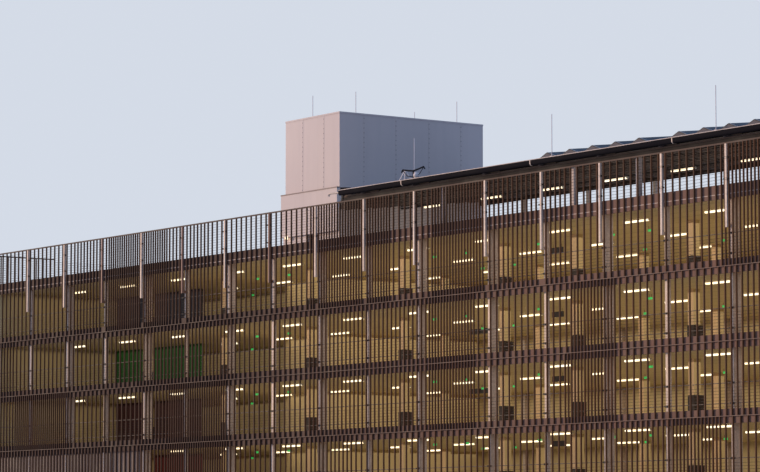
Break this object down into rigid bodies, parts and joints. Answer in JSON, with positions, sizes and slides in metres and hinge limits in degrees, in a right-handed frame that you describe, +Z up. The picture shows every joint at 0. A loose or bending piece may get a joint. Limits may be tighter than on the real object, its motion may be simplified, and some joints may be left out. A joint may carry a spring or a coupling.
{
  "type": "multi storey car park, scale model 1:2",
  "caption": "Long open car park behind screens of upright slats, with a stair tower and a sloping roof with solar panels over part of its top deck.",
  "frame": {"origin": "on the ground under the middle of the building's outline", "axes": "+X along the street front to the right as seen from the street, +Y from the street front to the back, +Z up"},
  "size_m": [32.92, 9.3, 11.905],
  "materials": {
    "concrete": "rough cast concrete",
    "deck": "coated concrete",
    "brown_paint": "matt",
    "brown_slat": "matt",
    "pale_trim": "satin",
    "galvanised": "galvanised",
    "dark_rail": "satin",
    "beige_paint": "painted",
    "wall_colour": "painted",
    "dark_box": "matt",
    "light": "lit diffuser",
    "tower_cladding": "satin",
    "roof_metal": "satin",
    "solar_cell": "glossy",
    "bare_metal": "satin"
  },
  "bodies": {
    "root": {"ground_slab": "concrete", "plinth_walls": "concrete", "deck_1": "deck", "deck_2": "deck", "deck_3": "deck", "deck_4": "deck", "roof_deck": "deck", "edge_bands": "brown_paint", "top_rail": "brown_paint", "eave_beams": "brown_paint", "front_slats_1": "brown_slat", "front_slats_2": "brown_slat", "front_slats_3": "brown_slat", "front_slats_4": "brown_slat", "front_slats_top": "brown_slat", "back_slats": "brown_slat", "back_slats_top": "brown_slat", "left_slats": "brown_slat", "right_slats": "brown_slat", "roof_deck_trim": "pale_trim", "seam_rails": "pale_trim", "front_columns": "galvanised", "back_columns": "galvanised", "front_posts": "galvanised", "back_posts": "galvanised", "roof_columns": "galvanised", "guard_rails": "galvanised", "rafters": "dark_rail", "inner_piers": "beige_paint", "end_walls": "beige_paint", "coloured_walls": "wall_colour", "louvred_boxes": "dark_box", "light_fittings": "light", "light_tray": "light", "tower_side_walls": "tower_cladding", "tower_back_walls": "tower_cladding", "tower_door_walls": "tower_cladding", "tower_lintels": "tower_cladding", "tower_ledge": "tower_cladding", "tower_roof": "tower_cladding", "roof_sheet": "roof_metal", "roof_gutter": "roof_metal", "solar_panels": "solar_cell", "solar_gables": "bare_metal", "lightning_rods": "bare_metal"}
  },
  "joints": []
}
